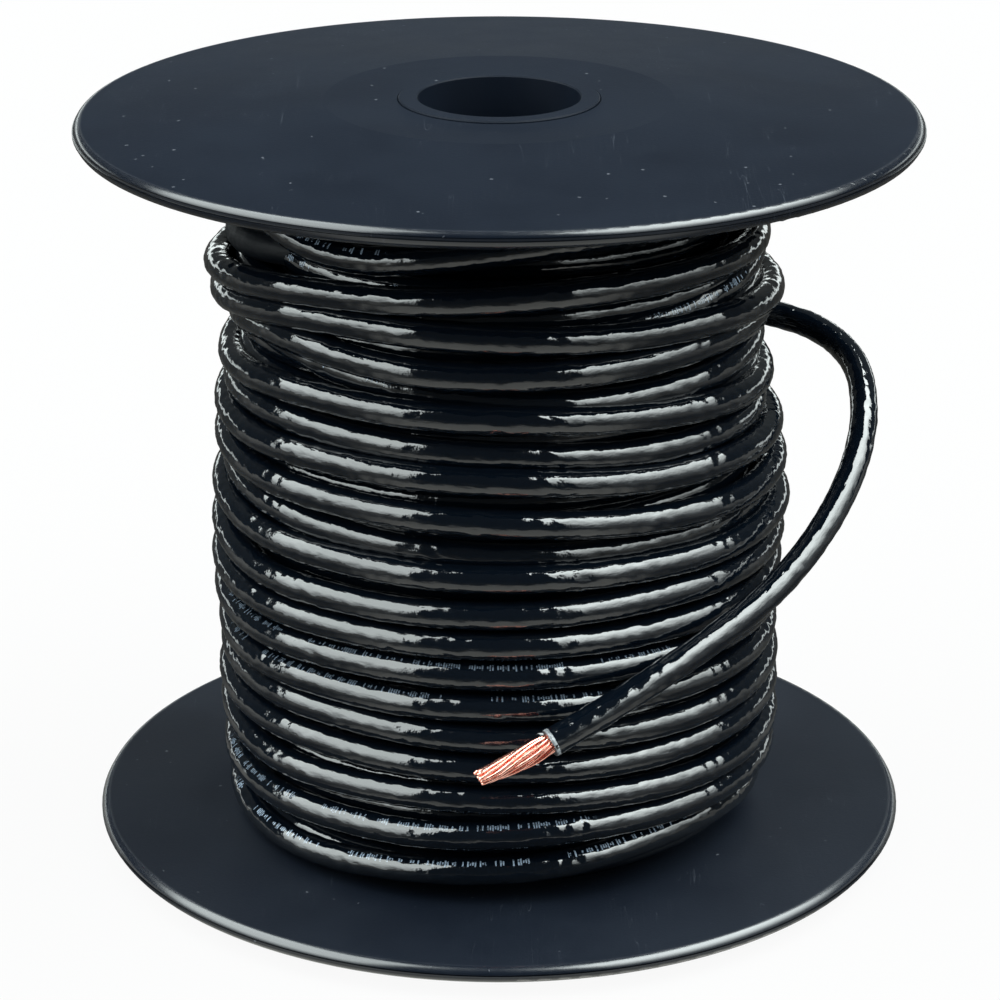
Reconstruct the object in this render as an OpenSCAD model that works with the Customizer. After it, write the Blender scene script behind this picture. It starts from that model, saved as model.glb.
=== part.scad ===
// Wire spool: a moulded plastic spool (two flanges, a barrel and an arbor tube)
// wound with 8 AWG stranded building wire whose stripped free end stands off the coil.
// Millimetres. Z is the spool's axis. The origin is on that axis, in the plane the spool stands on.
// The rear is +Y and the front is -Y.

/* [Spool] */
// Outside diameter of both flanges
flange_d = 165.1; // [163:0.1:172]
// Overall height, from the lower hub face to the top of the arbor tube
spool_h = 152.4; // [150:0.1:156]
// Thickness of a flange's web and rim
flange_t = 3.4; // [3:0.1:3.8]
// Diameter of the flat hub face in the middle of a flange
hub_d = 68; // [60:1:76]
// How far the rim sits back from the hub face
rim_back = 2.75; // [1:0.05:3]
// Height of the moulding's parting line standing out of the rim
parting_line = 0.15; // [0.05:0.05:0.3]
// Diameter of the spindle bore through the arbor tube
bore_d = 31.75; // [25.4:0.05:32.5]
// Outside diameter of the arbor tube
arbor_d = 39.2; // [38.6:0.1:39.6]
// How far the arbor tube stands out of the upper hub face
arbor_proud = 0.4; // [0.2:0.05:0.6]
// Outside diameter of the barrel that the wire is wound on
barrel_d = 58.8; // [57:0.1:58.9]
// Wall of the barrel
barrel_wall = 3; // [2.5:0.1:3]
// Height of the ring on each flange that locates the barrel
spigot_h = 7; // [5:0.5:9]

/* [Wire] */
// Outside diameter of the wire, over its nylon jacket
wire_d = 5.53; // [5.4:0.01:5.56]
// Wall of the nylon jacket
nylon_t = 0.135; // [0.12:0.005:0.15]
// Diameter of the stranded copper conductor
conductor_d = 3.74; // [3.6:0.02:3.8]
// Diameter of one copper strand
strand_d = 0.749; // [0.7:0.001:0.75]
// Gap left between the copper, the insulation and the jacket
shell_gap = 0.01; // [0.01:0.005:0.02]

/* [Winding] */
// Radius from the spool's axis to the centre of the wire in the outermost layer
outer_layer_r = 54.8; // [54.6:0.1:55]
// Radial distance between one layer and the next
layer_step = 5.62; // [5.6:0.01:5.64]
// Height gained per turn in the four inner layers
inner_pitch = 5.9; // [5.8:0.1:6.4]
// Height gained per turn in the looser outermost layer
outer_pitch = 6.5; // [6.3:0.1:6.6]
// Bend radius of the starting end where it passes through the barrel
lead_bend_r = 15; // [14:0.5:16]
// How far the starting end is bent round
lead_angle = 75; // [60:5:80]

/* [Free end] */
// Height at which the free end leaves the coil
exit_z = 95.1; // [92:0.1:98]
// Azimuth at which the free end leaves the coil, counted from +X
exit_az = 70; // [68:1:72]
// Straight length of wire as it leaves the coil
exit_run = 36; // [34:1:38]
// Length of wire between one joint of the free end and the next
link_run = 36; // [34:1:38]
// Length of the last bend, to the tips of the strands
last_run = 24; // [22:1:28]
// Length of copper left bare
strip_l = 15.5; // [12:0.5:17]
// Gap between neighbouring lengths of the free end, centred on their joint
joint_gap = 1.6; // [1.6:0.1:2]
// Length in which an outer strand goes once round the conductor
lay_l = 46; // [40:1:60]
// How far the outer strands spread where the copper comes out of the insulation
strand_spread = 0.4; // [0:0.05:0.6]

/* [Hidden] */

plastic = [0.17, 0.20, 0.25];
nylon = [0.05, 0.05, 0.06];
pvc = [0.09, 0.09, 0.10];
copper = [0.85, 0.50, 0.38];

// Spool
flange_r = flange_d/2;
hub_r = hub_d/2;
arbor_r = arbor_d/2;
bore_r = bore_d/2;
barrel_inner_r = barrel_d/2 - barrel_wall;
top_hub_z = spool_h - arbor_proud;
fit_gap = 0.05;              // between a flange and the arbor tube or the barrel
edge_break = 0.3;            // side of the square that breaks the flange's bore edge
parting_line_w = 0.4;
spigot_wall = 3;
spigot_sink = 0.5;           // depth the locating ring is sunk into the web
spigot_chamfer = [0.6, 0.9]; // radial, axial
arbor_chamfer = 0.25;
arbor_foot_chamfer = 0.2;    // on the outside, at the bottom

// Each shell of the wire's section is [outer radius, inner radius]; inner 0 is a solid round.
// The four inner layers have insulation and jacket in one shell.
wire_r = wire_d/2;
insulation_inner_r = conductor_d/2 + shell_gap;
jacket_inner_r = wire_r - nylon_t;
conductor = [conductor_d/2, 0];
insulation = [jacket_inner_r - shell_gap, insulation_inner_r];
jacket = [wire_r, jacket_inner_r];
covering = [wire_r, insulation_inner_r];

// Winding
slope_end_inset = 2;  // from the flange's edge to where its slope is taken to end
flange_clearance = 0.25;
flange_inner_z = flange_t
  + rim_back*(outer_layer_r + wire_r - hub_r)/(flange_r - slope_end_inset - hub_r);
// heights between which a turn's centre line may run
z_low = flange_inner_z + wire_r + flange_clearance;
z_high = top_hub_z - z_low;
seam_slack = 0.01;    // how much a shell is thinned where it runs into its neighbour
lead_clearance = 0.5; // round the starting end, in the barrel and lower flange
lead_slot_from = 4;   // degrees along the lead's bend at which its slot starts
lead_slot_past = 14;  // degrees the slot runs on past the lead's end

// Free end
run_overlap = 0.02;   // of the straight run with the coil
end_overlap = 0.05;   // of the last two bends
strip_gap = 0.05;     // between the cut end and the strands
bare_l = strip_l - strip_gap;
// bends after the straight run: [bend radius, length, roll before the bend in degrees]
bends = [
  [31, link_run, 19],
  [57, link_run, 22],
  [94, link_run, -51],
  [127, link_run, 62],
  [341, last_run, -18]
];

// Strands
strand_steps = 16;
strand_sides = 8;
strand_slack = 0.004;                  // taken off a laid strand's radius
inner_ring_r = strand_d + 0.02;
outer_ring_r = 2*strand_d + 0.035;
inner_spread = strand_spread*0.4;
swell_skew = 0.7;                      // below 1 moves the swell towards the insulation

function layer_r(n) = outer_layer_r - (5 - n)*layer_step;

// Tilt of a half turn that climbs a quarter of the pitch either side of its middle
function tilt(coil_r, pitch) = asin(pitch/(4*coil_r));

// Height of the middle of the half turn that the free end leaves
outer_tilt = tilt(outer_layer_r, outer_pitch);
exit_turn_z = exit_z - outer_layer_r*cos(exit_az)*sin(outer_tilt);

// ---- spool ----

// Half section of a flange lying face down: hub face at y = 0, rim set back,
// round rim with a parting line
module flange_section() {
  round_r = flange_t/2;
  round_x = flange_r - parting_line - round_r;
  hole_r = arbor_r + fit_gap;
  difference() {
    union() {
      polygon([
        [hole_r, 0], [hub_r, 0], [round_x, rim_back],
        [round_x, rim_back + flange_t], [hub_r, flange_t], [hole_r, flange_t]
      ]);
      translate([round_x, rim_back + round_r]) circle(r = round_r, $fn = 64);
      translate([round_x, rim_back + round_r - parting_line_w/2])
        square([round_r + parting_line, parting_line_w]);
    }
    // broken edge where the arbor tube comes through
    translate([hole_r, 0]) rotate(45) square(edge_break, center = true);
  }
}

// Flange with the ring that locates the barrel, hub face down
module flange() {
  top = spigot_h + spigot_sink;
  rotate_extrude($fn = 180) flange_section();
  translate([0, 0, flange_t - spigot_sink]) rotate_extrude($fn = 96)
    translate([barrel_inner_r - fit_gap - spigot_wall, 0]) polygon([
      [0, 0], [spigot_wall, 0], [spigot_wall, top - spigot_chamfer[1]],
      [spigot_wall - spigot_chamfer[0], top], [0, top]
    ]);
}

// Sweeps a section along the starting end's bend, in degrees from the first turn inwards
module lead_sweep(from, to) {
  coil_r = layer_r(1);
  translate([-coil_r*cos(tilt(coil_r, inner_pitch)) + lead_bend_r, 0, z_low])
    rotate_extrude(start = 180 + from, angle = to - from, $fn = 72)
      translate([lead_bend_r, 0]) children();
}

// Room for the starting end to pass through the barrel
module lead_slot() {
  lead_sweep(lead_slot_from, lead_angle + lead_slot_past)
    circle(r = wire_r + lead_clearance, $fn = 32);
}

module upper_flange() {
  color(plastic) translate([0, 0, top_hub_z]) mirror([0, 0, 1]) flange();
}

module lower_flange() {
  color(plastic) difference() {
    flange();
    lead_slot();
  }
}

module barrel() {
  color(plastic) difference() {
    translate([0, 0, flange_t])
      cylinder(h = top_hub_z - 2*flange_t, r = barrel_d/2, $fn = 128);
    cylinder(h = spool_h, r = barrel_inner_r, $fn = 128);
    lead_slot();
  }
}

module arbor_tube() {
  color(plastic) rotate_extrude($fn = 128) polygon([
    [bore_r, arbor_chamfer], [bore_r + arbor_chamfer, 0],
    [arbor_r - arbor_foot_chamfer, 0], [arbor_r, arbor_foot_chamfer],
    [arbor_r, spool_h - arbor_chamfer], [arbor_r - arbor_chamfer, spool_h],
    [bore_r + arbor_chamfer, spool_h], [bore_r, spool_h - arbor_chamfer]
  ]);
}

// ---- coil ----

// A shell made thinner on both faces, so that its faces don't meet its neighbour's
function thinned(shell) =
  [shell[0] - seam_slack, shell[1] > 0 ? shell[1] + seam_slack : 0];

module wire_section(shell) {
  difference() {
    circle(r = shell[0], $fn = 32);
    if (shell[1] > 0) circle(r = shell[1], $fn = 32);
  }
}

// Half a turn as a tilted half ring, with its middle at height z. With hand = 1 (left-hand)
// the rear half climbs towards +X and the front half towards -X; with hand = -1 the reverse.
// from: degrees left off the start of the half ring.
module half_turn(shell, coil_r, pitch, z, rear, hand, from = 0) {
  translate([0, 0, z]) rotate([0, tilt(coil_r, pitch)*(rear ? -hand : hand), 0])
    rotate_extrude(start = (rear ? 0 : 180) + from, angle = 180 - from, $fn = 72)
      translate([coil_r, 0]) wire_section(rear ? shell : thinned(shell));
}

// An inner layer, filling the space between the flanges; alternate layers change hand
module inner_layer(n, shell) {
  rise = inner_pitch/2;
  count = floor((z_high - z_low)/rise);
  for (i = [0:count - 1])
    half_turn(shell, layer_r(n), inner_pitch, z_low + rise/2 + i*rise,
      rear = i % 2 == 0, hand = n % 2 == 1 ? 1 : -1);
}

// The first layer, with the starting end of the wire
module first_layer(shell) {
  inner_layer(1, shell);
  lead_sweep(0, lead_angle) wire_section(thinned(shell));
}

// Frame at the point where the wire leaves the coil: Y along the wire, -X towards the axis
module exit_frame() {
  translate([0, 0, exit_turn_z]) rotate([0, -outer_tilt, 0])
    rotate([0, 0, exit_az]) translate([outer_layer_r, 0, 0]) rotate([180, 0, 0]) children();
}

// The outermost layer: half turns below and above the free end's exit, the part turn
// that ends there, and the straight run that leaves the coil
module outer_layer(shell) {
  rise = outer_pitch/2;
  below = floor((exit_turn_z - z_low - rise/2)/rise);
  above = floor((z_high - rise/2 - exit_turn_z)/rise);
  for (i = [-below:above])
    half_turn(shell, outer_layer_r, outer_pitch, exit_turn_z + i*rise,
      rear = i % 2 == 0, hand = 1, from = i == 0 ? exit_az : 0);
  exit_frame() rotate([-90, 0, 0]) translate([0, 0, -run_overlap])
    linear_extrude(exit_run - joint_gap/2 + run_overlap) wire_section(thinned(shell));
}

// ---- free end ----

// Angle that a length of wire takes up in bend n
function bend_angle(n, run) = run/bends[n][0]*180/PI;

// Frame at the start of bend n: Y along the wire, -X towards the bend's centre
module bend_frame(n) {
  roll = bends[n][2];
  if (n == 0) exit_frame() translate([0, exit_run, 0]) rotate([0, roll, 0]) children();
  else along_bend(n - 1, bends[n - 1][1]) rotate([0, roll, 0]) children();
}

// Frame at a distance along bend n
module along_bend(n, run) {
  bend_r = bends[n][0];
  bend_frame(n) translate([-bend_r, 0, 0]) rotate([0, 0, bend_angle(n, run)])
    translate([bend_r, 0, 0]) children();
}

// Part of bend n, between two distances along its centre line
module bend_piece(n, shell, from, to) {
  bend_r = bends[n][0];
  bend_frame(n) translate([-bend_r, 0, 0])
    rotate_extrude(start = bend_angle(n, from), angle = bend_angle(n, to - from), $fn = 180)
      translate([bend_r, 0]) wire_section(shell);
}

// One rigid length of the free end, between two joints
module link(n, shell) {
  bend_piece(n, shell, joint_gap/2, link_run - joint_gap/2);
}

// The last length of the free end, up to the cut end of the insulation
module end_link(shell) {
  bend_piece(3, shell, joint_gap/2, link_run);
  bend_piece(4, thinned(shell), -end_overlap, last_run - strip_l);
}

// ---- bare strands ----

// Frame at the foot of the strands, just past the cut insulation: Z along the bare copper
module strip_frame() {
  along_bend(4, last_run - strip_l) rotate([-90, 0, 0]) translate([0, 0, strip_gap]) children();
}

// Swell of the strands along the bare copper, 0 at both ends (t = 0 and t = 1)
function swell(t) = pow(sin(180*pow(t, swell_skew)), 2);

// Index of a strand's vertex
function corner(step, side) = step*strand_sides + side % strand_sides;

// One strand laid round the conductor
module laid_strand(ring_r, phase, spread) {
  strand_r = strand_d/2 - strand_slack;
  last_side = strand_sides - 1;
  points = [
    for (i = [0:strand_steps])
      let (t = i/strand_steps, r = ring_r + spread*swell(t), turn = phase + 360*t*bare_l/lay_l)
        for (j = [0:last_side])
          let (around = turn + 360*j/strand_sides) [
            r*cos(turn) + strand_r*cos(around),
            r*sin(turn) + strand_r*sin(around),
            t*bare_l
          ]
  ];
  faces = [
    [for (j = [0:last_side]) corner(0, j)],
    [for (j = [last_side:-1:0]) corner(strand_steps, j)],
    for (i = [0:strand_steps - 1]) for (j = [0:last_side]) each [
      [corner(i, j), corner(i + 1, j), corner(i + 1, j + 1)],
      [corner(i, j), corner(i + 1, j + 1), corner(i, j + 1)]
    ]
  ];
  polyhedron(points = points, faces = faces, convexity = 6);
}

module strand_ring(count, ring_r, phase, spread) {
  strip_frame() for (k = [0:count - 1]) laid_strand(ring_r, 360/count*k + phase, spread);
}

// ---- nodes of the wire ----

module layer_1_conductor() { color(copper) first_layer(conductor); }
module layer_1_insulation() { color(nylon) first_layer(covering); }
module layer_2_conductor() { color(copper) inner_layer(2, conductor); }
module layer_2_insulation() { color(nylon) inner_layer(2, covering); }
module layer_3_conductor() { color(copper) inner_layer(3, conductor); }
module layer_3_insulation() { color(nylon) inner_layer(3, covering); }
module layer_4_conductor() { color(copper) inner_layer(4, conductor); }
module layer_4_insulation() { color(nylon) inner_layer(4, covering); }
module layer_5_conductor() { color(copper) outer_layer(conductor); }
module layer_5_insulation() { color(pvc) outer_layer(insulation); }
module layer_5_jacket() { color(nylon) outer_layer(jacket); }

module tail_1_conductor() { color(copper) link(0, conductor); }
module tail_1_insulation() { color(pvc) link(0, insulation); }
module tail_1_jacket() { color(nylon) link(0, jacket); }
module tail_2_conductor() { color(copper) link(1, conductor); }
module tail_2_insulation() { color(pvc) link(1, insulation); }
module tail_2_jacket() { color(nylon) link(1, jacket); }
module tail_3_conductor() { color(copper) link(2, conductor); }
module tail_3_insulation() { color(pvc) link(2, insulation); }
module tail_3_jacket() { color(nylon) link(2, jacket); }
module tail_4_conductor() { color(copper) end_link(conductor); }
module tail_4_insulation() { color(pvc) end_link(insulation); }
module tail_4_jacket() { color(nylon) end_link(jacket); }

module strand_centre() {
  color(copper) strip_frame() cylinder(h = bare_l, r = strand_d/2, $fn = 24);
}
module strands_inner() { color(copper) strand_ring(6, inner_ring_r, 0, inner_spread); }
module strands_outer() { color(copper) strand_ring(12, outer_ring_r, 15, strand_spread); }

upper_flange();
lower_flange();
barrel();
arbor_tube();
layer_1_conductor();
layer_1_insulation();
layer_2_conductor();
layer_2_insulation();
layer_3_conductor();
layer_3_insulation();
layer_4_conductor();
layer_4_insulation();
layer_5_conductor();
layer_5_insulation();
layer_5_jacket();
tail_1_conductor();
tail_1_insulation();
tail_1_jacket();
tail_2_conductor();
tail_2_insulation();
tail_2_jacket();
tail_3_conductor();
tail_3_insulation();
tail_3_jacket();
tail_4_conductor();
tail_4_insulation();
tail_4_jacket();
strand_centre();
strands_inner();
strands_outer();
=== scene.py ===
# A spool of jacketed, stranded copper wire. The spool stands on z = 0 with its axis on Z; the
# camera looks from -Y, so azimuth -90 degrees is the front. Five layers of wire are wound on it.
# The fifth is broken at the exit, where the free end leaves the coil, runs out through four
# joints and ends in bared strands. Lengths are millimetres unless a name or comment says metres.
import math
import bpy
import numpy as np
from mathutils import Matrix


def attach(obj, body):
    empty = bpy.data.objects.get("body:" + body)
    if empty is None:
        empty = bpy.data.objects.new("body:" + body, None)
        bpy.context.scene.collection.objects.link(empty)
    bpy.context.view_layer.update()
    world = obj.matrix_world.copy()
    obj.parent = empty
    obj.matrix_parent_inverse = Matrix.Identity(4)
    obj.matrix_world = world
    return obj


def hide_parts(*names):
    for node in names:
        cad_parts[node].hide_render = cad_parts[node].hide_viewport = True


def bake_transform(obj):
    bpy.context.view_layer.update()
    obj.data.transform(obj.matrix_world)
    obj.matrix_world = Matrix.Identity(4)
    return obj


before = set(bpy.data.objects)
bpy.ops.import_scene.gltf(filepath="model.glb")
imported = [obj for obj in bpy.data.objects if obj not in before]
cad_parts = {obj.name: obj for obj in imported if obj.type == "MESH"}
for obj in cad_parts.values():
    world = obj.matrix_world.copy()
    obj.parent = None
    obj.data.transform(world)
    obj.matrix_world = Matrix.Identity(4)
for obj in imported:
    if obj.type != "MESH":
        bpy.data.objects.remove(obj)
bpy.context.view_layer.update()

MM = 0.001              # metres in a millimetre
WIRE_R = 2.765          # outside radius of the wire
SIDES = 28              # vertices round the wire
STEP = 0.6              # distance between rings along the wire
RIPPLE = 0.046          # unevenness of the outer jacket
OUTER_R = 54.8          # radius of the fifth layer's centreline
LAYER_GAP = 5.62        # radius from one layer to the next
AROUND = np.linspace(0, 2 * np.pi, SIDES, endpoint=False)


# ---------------------------------------------------------------- meshes and curves

def make_mesh(name, points, quads, tris=(), smooth=True):
    """A mesh object from points in millimetres, quads and optional triangles."""
    points = np.asarray(points, float) * MM
    quads = np.asarray(quads, np.int64).reshape(-1, 4)
    tris = np.asarray(tris, np.int64).reshape(-1, 3)
    loops = np.concatenate([quads.ravel(), tris.ravel()]).astype(np.int32)
    quad_starts = np.arange(len(quads)) * 4
    tri_starts = len(quads) * 4 + np.arange(len(tris)) * 3
    starts = np.concatenate([quad_starts, tri_starts]).astype(np.int32)
    mesh = bpy.data.meshes.new(name)
    mesh.vertices.add(len(points))
    mesh.vertices.foreach_set("co", points.astype(np.float32).ravel())
    mesh.loops.add(len(loops))
    mesh.loops.foreach_set("vertex_index", loops)
    mesh.polygons.add(len(starts))
    mesh.polygons.foreach_set("loop_start", starts)
    mesh.update(calc_edges=True)
    mesh.validate()
    if smooth:
        mesh.polygons.foreach_set("use_smooth", np.ones(len(mesh.polygons), bool))
    ob = bpy.data.objects.new(name, mesh)
    bpy.context.scene.collection.objects.link(ob)
    return ob


def attribute(ob, name, values, kind="FLOAT_VECTOR"):
    layer = ob.data.attributes.new(name, kind, "POINT")
    key = "vector" if kind == "FLOAT_VECTOR" else "value"
    layer.data.foreach_set(key, np.asarray(values, np.float32).ravel())


def paint(ob, material):
    ob.data.materials.clear()
    ob.data.materials.append(material)


def gauss(values, sigma):
    """Gaussian smoothing along axis 0, with the ends held."""
    if sigma <= 0:
        return values
    reach = int(math.ceil(3 * sigma))
    kernel = np.exp(-0.5 * (np.arange(-reach, reach + 1) / sigma) ** 2)
    kernel /= kernel.sum()
    values = np.asarray(values, float)
    flat = values.reshape(len(values), -1)
    before = 2 * flat[:1] - flat[1:reach + 1][::-1]
    after = 2 * flat[-1:] - flat[-reach - 1:-1][::-1]
    padded = np.concatenate([before, flat, after])
    columns = [np.convolve(column, kernel, mode="valid") for column in padded.T]
    return np.stack(columns, 1).reshape(values.shape)


def lengths_along(path):
    return np.concatenate([[0], np.cumsum(np.linalg.norm(np.diff(path, axis=0), axis=1))])


def resample(path, extra, step):
    """Even spacing along a polyline; extra columns are carried along."""
    old = lengths_along(path)
    count = max(2, int(round(old[-1] / step)) + 1)
    along = np.linspace(0, old[-1], count)
    path, extra = (np.stack([np.interp(along, old, column) for column in table.T], 1)
                   for table in (path, extra))
    return path, extra, along


def unit(vectors):
    return vectors / np.maximum(np.linalg.norm(vectors, axis=-1, keepdims=True), 1e-12)


def fade(distance, width):
    """0 up to the edge, rising to 1 over the width."""
    return np.clip(distance / width, 0, 1)


def skin(near, far):
    """Quads between matching rings of vertex numbers."""
    corners = [near, np.roll(near, -1, 1), np.roll(far, -1, 1), far]
    return np.stack(corners, -1).reshape(-1, 4)


# ---------------------------------------------------------------- wire

def ripple(along, seed, amp):
    """Uneven jacket: seeded waves along the wire, periodic round it."""
    rng = np.random.default_rng(seed)
    waves = 34
    relief = np.zeros((len(along), SIDES))
    for _ in range(waves):
        wavelength = rng.uniform(2.6, 13.0)
        lobes = rng.integers(1, 8)
        weight = 1.0 if wavelength < 6 else 0.85
        phase = 2 * np.pi * along[:, None] / wavelength * rng.choice([-1, 1])
        relief += weight * np.sin(phase + lobes * AROUND + rng.uniform(0, 2 * np.pi))
    # slow gate, so some lengths are smooth and some are wrinkled
    gate = (0.75 + 0.25 * np.sin(2 * np.pi * along / 41.0 + rng.uniform(0, 6))
            + 0.2 * np.sin(2 * np.pi * along / 17.3 + rng.uniform(0, 6)))
    relief *= gate[:, None]
    return relief * amp / math.sqrt(waves / 2)


def rings(path, outward, along, seed, amp, folds):
    """Rings of wall points (ring, side, xyz); folds is the fold depth at each ring."""
    tangent = unit(np.gradient(path, axis=0))
    outward = unit(outward - (outward * tangent).sum(1)[:, None] * tangent)
    across = np.cross(tangent, outward)
    # tight folds across the wire, deepest where the wall faces outward
    pleats = (np.sin(2 * np.pi * along / 1.35 + 0.8 * np.sin(along / 1.1)) * 0.5
              + np.sin(2 * np.pi * along / 2.1 + 1.0) * 0.5)
    facing = 0.55 - 0.45 * np.cos(AROUND - math.pi)
    radius = WIRE_R + (ripple(along, seed, amp) + folds[:, None] * pleats[:, None] * facing)
    spoke = (np.cos(AROUND)[None, :, None] * outward[:, None, :]
             + np.sin(AROUND)[None, :, None] * across[:, None, :])
    return path[:, None, :] + radius[:, :, None] * spoke


def tube(name, wall, along, ink_angle, ink_on, cap_start=True):
    """Skins rings of wall points. Attributes: wire (place on the straightened wire),
    ink (the same, turned to the row of print) and inkon (strength of the print)."""
    count = len(wall)
    index = np.arange(count * SIDES).reshape(count, SIDES)
    quads = skin(index[:-1], index[1:])
    points = wall.reshape(-1, 3)
    wire = np.stack([np.repeat(along, SIDES), np.tile(WIRE_R * np.cos(AROUND), count),
                     np.tile(WIRE_R * np.sin(AROUND), count)], 1)
    off = AROUND[None, :] - ink_angle[:, None]
    ink = np.stack([np.broadcast_to(along[:, None], off.shape), WIRE_R * np.sin(off),
                    WIRE_R * np.cos(off)], -1).reshape(-1, 3)
    strength = np.repeat(ink_on, SIDES)
    tris = []
    caps = [(wall[0], along[0], 1)] if cap_start else []
    for ring, place, flip in caps + [(wall[-1], along[-1], 0)]:
        # a cap has its own vertices, so the wall's shading runs on past it
        first = len(points)
        centre = first + SIDES
        points = np.vstack([points, ring, ring.mean(0)])
        flat = np.tile([place, 0, 0], (SIDES + 1, 1))
        wire = np.vstack([wire, flat])
        ink = np.vstack([ink, flat])
        strength = np.append(strength, np.zeros(SIDES + 1))
        tris += [[centre, first + (j + flip) % SIDES, first + (j + 1 - flip) % SIDES]
                 for j in range(SIDES)]
    ob = make_mesh(name, points, quads, tris)
    attribute(ob, "wire", wire)
    attribute(ob, "ink", ink)
    attribute(ob, "inkon", strength, "FLOAT")
    return ob


def around_spool(phi, height, radius):
    """Points and outward directions; the course angle phi is azimuth + 180 degrees."""
    azimuth = np.radians(phi - 180)
    points = np.stack([radius * np.cos(azimuth), radius * np.sin(azimuth), height], 1)
    return points, np.stack([np.cos(azimuth), np.sin(azimuth), 0 * azimuth], 1)


def lay(name, course, seed, start, amp=RIPPLE, step=STEP, smooth=0.0, folds=0.0,
        ink_deg=-45.0, ink_sway=0.0, ink_on=np.zeros_like):
    """Wire along a course (phi, height, radius). start offsets the length along the wire,
    which varies the jacket; ink_on gives the print's strength from phi."""
    path, outward = around_spool(*course)
    path, extra, along = resample(path, np.column_stack([outward, course[0]]), step)
    path = gauss(path, smooth)
    fold_depth = np.full(len(along), folds)
    wall = rings(path, unit(extra[:, :3]), along + start, seed, amp, fold_depth)
    ink_angle = np.radians(ink_deg + ink_sway * np.sin(along / 55.0))
    return tube(name, wall, along + start, ink_angle, ink_on(extra[:, 3]))


# ---------------------------------------------------------------- node trees

class NodeTree:
    """Short calls for building the node tree of a material or a world."""
    def __init__(self, owner, output):
        owner.use_nodes = True
        self.owner = owner
        self.tree = owner.node_tree
        self.tree.nodes.clear()
        self.output = self.node(output)

    def node(self, kind, **settings):
        node = self.tree.nodes.new("ShaderNode" + kind)
        for key, value in settings.items():
            setattr(node, key, value)
        return node

    def link(self, source, target):
        self.tree.links.new(source, target)

    def put(self, socket, value):
        """Links a socket, or sets a plain value."""
        if isinstance(value, bpy.types.NodeSocket):
            self.link(value, socket)
        else:
            socket.default_value = value

    def math(self, operation, first, second=0.0, clamp=False):
        node = self.node("Math", operation=operation, use_clamp=clamp)
        self.put(node.inputs[0], first)
        self.put(node.inputs[1], second)
        return node.outputs[0]

    def add(self, total, *terms):
        for term in terms:
            total = self.math("ADD", total, term)
        return total

    def mul(self, product, *factors):
        for factor in factors:
            product = self.math("MULTIPLY", product, factor)
        return product

    def sub(self, first, second, clamp=False):
        return self.math("SUBTRACT", first, second, clamp)

    def above(self, value, limit):
        return self.math("GREATER_THAN", value, limit)

    def below(self, value, limit):
        return self.math("LESS_THAN", value, limit)

    def coord(self, kind="Object"):
        return self.node("TexCoord").outputs[kind]

    def geometry(self, output):
        return self.node("NewGeometry").outputs[output]

    def xyz(self, vector):
        node = self.node("SeparateXYZ")
        self.link(vector, node.inputs[0])
        return node.outputs

    def attr(self, name, output="Vector"):
        node = self.node("Attribute", attribute_name=name, attribute_type="GEOMETRY")
        return node.outputs[output]

    def mapped(self, vector, scale, rotation=(0, 0, 0), location=(0, 0, 0)):
        node = self.node("Mapping")
        self.link(vector, node.inputs["Vector"])
        node.inputs["Scale"].default_value = scale
        node.inputs["Rotation"].default_value = rotation
        node.inputs["Location"].default_value = location
        return node.outputs[0]

    def noise(self, vector, scale=1.0, detail=2.0, rough=0.5, distortion=0.0):
        node = self.node("TexNoise")
        self.link(vector, node.inputs["Vector"])
        node.inputs["Scale"].default_value = scale
        node.inputs["Detail"].default_value = detail
        node.inputs["Roughness"].default_value = rough
        node.inputs["Distortion"].default_value = distortion
        return node.outputs["Fac"]

    def white_noise(self, value):
        node = self.node("TexWhiteNoise", noise_dimensions="1D")
        self.link(value, node.inputs["W"])
        return node.outputs["Value"]

    def ramp(self, value, span, to=(0.0, 1.0), kind="SMOOTHSTEP"):
        node = self.node("MapRange", interpolation_type=kind)
        self.link(value, node.inputs["Value"])
        for key, number in zip(("From Min", "From Max", "To Min", "To Max"), (*span, *to)):
            node.inputs[key].default_value = number
        return node.outputs["Result"]

    def mix(self, factor, first, second):
        node = self.node("Mix", data_type="RGBA")
        self.put(node.inputs["Factor"], factor)
        self.put(node.inputs[6], first)
        self.put(node.inputs[7], second)
        return node.outputs[2]

    def tint(self, base, color, mask, strength):
        return self.mix(self.mul(mask, strength), base, color)

    def bump(self, height, distance, strength=1.0, normal=None):
        """distance is in metres."""
        node = self.node("Bump")
        self.put(node.inputs["Strength"], strength)
        node.inputs["Distance"].default_value = distance
        self.link(height, node.inputs["Height"])
        if normal is not None:
            self.link(normal, node.inputs["Normal"])
        return node.outputs["Normal"]

    def light(self, kind, color, strength):
        """An Emission or Background shader."""
        node = self.node(kind)
        node.inputs["Color"].default_value = color
        self.put(node.inputs["Strength"], strength)
        return node.outputs[0]

    def mix_shader(self, factor, first, second):
        node = self.node("MixShader")
        for socket, source in zip(node.inputs, (factor, first, second)):
            self.link(source, socket)
        return node.outputs[0]

    def surface(self, shader):
        self.link(shader, self.output.inputs["Surface"])

    def principled(self, color, rough, normal, metallic=0.0, ior=1.5, spec=0.5):
        """Finishes a material and returns it."""
        node = self.node("BsdfPrincipled")
        self.put(node.inputs["Base Color"], color)
        self.put(node.inputs["Roughness"], rough)
        self.put(node.inputs["Metallic"], metallic)
        self.put(node.inputs["IOR"], ior)
        self.put(node.inputs["Specular IOR Level"], spec)
        self.put(node.inputs["Coat Roughness"], 0.05)
        self.link(normal, node.inputs["Normal"])
        self.surface(node.outputs[0])
        return self.owner


def material(name):
    return NodeTree(bpy.data.materials.new(name), "OutputMaterial")


# ---------------------------------------------------------------- materials

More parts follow.
